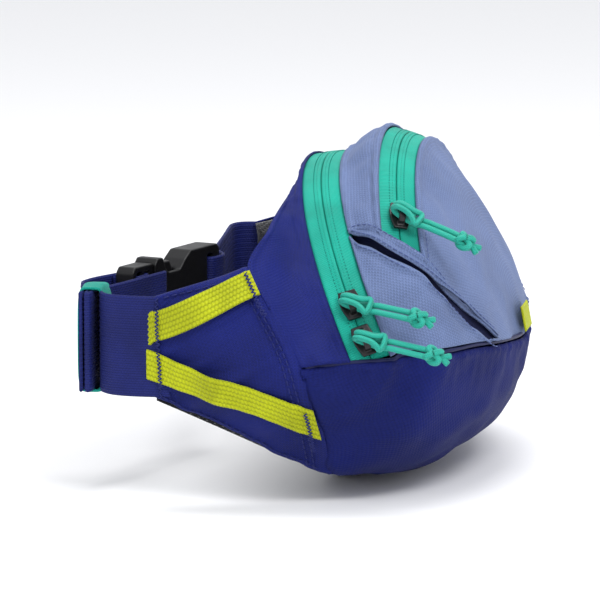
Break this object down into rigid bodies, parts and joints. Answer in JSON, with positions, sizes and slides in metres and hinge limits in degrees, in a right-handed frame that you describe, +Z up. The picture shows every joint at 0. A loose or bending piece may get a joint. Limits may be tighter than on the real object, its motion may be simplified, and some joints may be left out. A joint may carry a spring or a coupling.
{
  "type": "waist pack",
  "caption": "Domed hip bag with two curved zips, slanted hand pockets, padded wings and a webbing waist belt closed by a side-release buckle.",
  "frame": {"origin": "on the floor under the middle of the whole pack's box", "axes": "+Z up; -Y towards the front of the bag; +Y towards the wearer and the belt; +X to the wearer's right"},
  "size_m": [0.2226, 0.1654, 0.1347],
  "materials": {
    "navy_ripstop": "woven ripstop, slight sheen",
    "navy_bottom": "coarse basket weave",
    "periwinkle": "woven ripstop, slight sheen",
    "lining": "plain coated lining",
    "teal_tape": "woven zip tape with a woven-in coil",
    "teal_cord": "braided cord",
    "lime_webbing": "ribbed narrow webbing",
    "navy_webbing": "flat woven webbing",
    "teal_elastic": "covered elastic",
    "mesh": "spacer mesh",
    "foam": "closed-cell foam",
    "plastic": "moulded, fine texture",
    "gunmetal": "dark coated zinc",
    "patch": "plain moulded patch"
  },
  "bodies": {
    "pack": {"rear_panel": "navy_ripstop", "gusset_panel": "periwinkle", "front_panel": "periwinkle", "hand_pocket_panel_left": "periwinkle", "slit_welt_left": "periwinkle", "hand_pocket_lining_left": "lining", "hand_pocket_panel_right": "periwinkle", "slit_welt_right": "periwinkle", "hand_pocket_lining_right": "lining", "bottom_panel": "navy_bottom", "rear_wall": "lining", "back_pad": "foam", "back_mesh": "mesh", "pocket_divider": "lining", "main_zip_tape_rear": "teal_tape", "main_zip_tape_front": "teal_tape", "main_zip_coil_rear": "teal_tape", "main_zip_coil_front": "teal_tape", "front_zip_tape_rear": "teal_tape", "front_zip_tape_front": "teal_tape", "front_zip_coil_rear": "teal_tape", "front_zip_coil_front": "teal_tape", "wing_outer_left": "navy_ripstop", "wing_foam_left": "foam", "wing_mesh_left": "mesh", "wing_strap_upper_left": "lime_webbing", "wing_strap_lower_left": "lime_webbing", "wing_outer_right": "navy_ripstop", "wing_foam_right": "foam", "wing_mesh_right": "mesh", "wing_strap_upper_right": "lime_webbing", "wing_strap_lower_right": "lime_webbing", "webbing_left": "navy_webbing", "webbing_stack": "navy_webbing", "webbing_tail": "navy_webbing", "webbing_right": "navy_webbing", "elastic_keeper": "teal_elastic", "buckle_female": "plastic", "front_patch": "patch"},
    "slider_lower": {"main_slider_lower": "gunmetal"},
    "slider_upper": {"main_slider_upper": "gunmetal"},
    "slider_front": {"front_slider": "gunmetal"},
    "pull_lower": {"main_pull_lower_strand_a": "teal_cord", "main_pull_lower_strand_b": "teal_cord", "main_pull_lower_knot": "teal_cord"},
    "pull_upper": {"main_pull_upper_strand_a": "teal_cord", "main_pull_upper_strand_b": "teal_cord", "main_pull_upper_knot": "teal_cord"},
    "pull_front": {"front_pull_strand_a": "teal_cord", "front_pull_strand_b": "teal_cord", "front_pull_knot": "teal_cord"},
    "male_half": {"buckle_male": "plastic", "adjuster_fold": "navy_webbing"},
    "prong_upper": {"buckle_prong_upper": "plastic"},
    "prong_lower": {"buckle_prong_lower": "plastic"}
  },
  "joints": [
    {"name": "main_zip_lower_travel", "type": "hinge", "parent": "pack", "child": "slider_lower", "pos_m": [0, -0.05192, 0.02784], "axis": [0, 0.8898, -0.4563], "range_deg": [0, 55]},
    {"name": "main_zip_upper_travel", "type": "hinge", "parent": "slider_lower", "child": "slider_upper", "pos_m": [0, -0.05192, 0.02784], "axis": [0, 0.8898, -0.4563], "range_deg": [0, 70]},
    {"name": "front_zip_travel", "type": "hinge", "parent": "pack", "child": "slider_front", "pos_m": [0, -0.0572, 0.04319], "axis": [0, 0.9673, -0.2537], "range_deg": [0, 84]},
    {"name": "main_pull_lower_swing", "type": "hinge", "parent": "slider_lower", "child": "pull_lower", "pos_m": [-0.1028, -0.03329, 0.06656], "axis": [-0.3855, -0.4211, -0.821], "range_deg": [0, 95]},
    {"name": "main_pull_upper_swing", "type": "hinge", "parent": "slider_upper", "child": "pull_upper", "pos_m": [-0.0958, -0.02694, 0.07895], "axis": [-0.5105, -0.3924, -0.7651], "range_deg": [0, 95]},
    {"name": "front_pull_swing", "type": "hinge", "parent": "slider_front", "child": "pull_front", "pos_m": [-0.06657, -0.0416, 0.10937], "axis": [-0.7144, -0.1775, -0.6768], "range_deg": [0, 95]},
    {"name": "buckle_release", "type": "slide", "parent": "pack", "child": "male_half", "axis": [-0.9539, 0.3, 0], "range_m": [0, 0.02]},
    {"name": "prong_upper_squeeze", "type": "hinge", "parent": "male_half", "child": "prong_upper", "pos_m": [-0.041, 0.06355, 0.07705], "axis": [0.3, 0.9539, 0], "range_deg": [0, 7], "stiffness_Nm_per_rad": 0.5},
    {"name": "prong_lower_squeeze", "type": "hinge", "parent": "male_half", "child": "prong_lower", "pos_m": [-0.041, 0.06355, 0.04555], "axis": [-0.3, -0.9539, 0], "range_deg": [0, 7], "stiffness_Nm_per_rad": 0.5}
  ],
  "couplings": [
    {"joint": "prong_lower_squeeze", "follows": "prong_upper_squeeze", "ratio": 1}
  ]
}
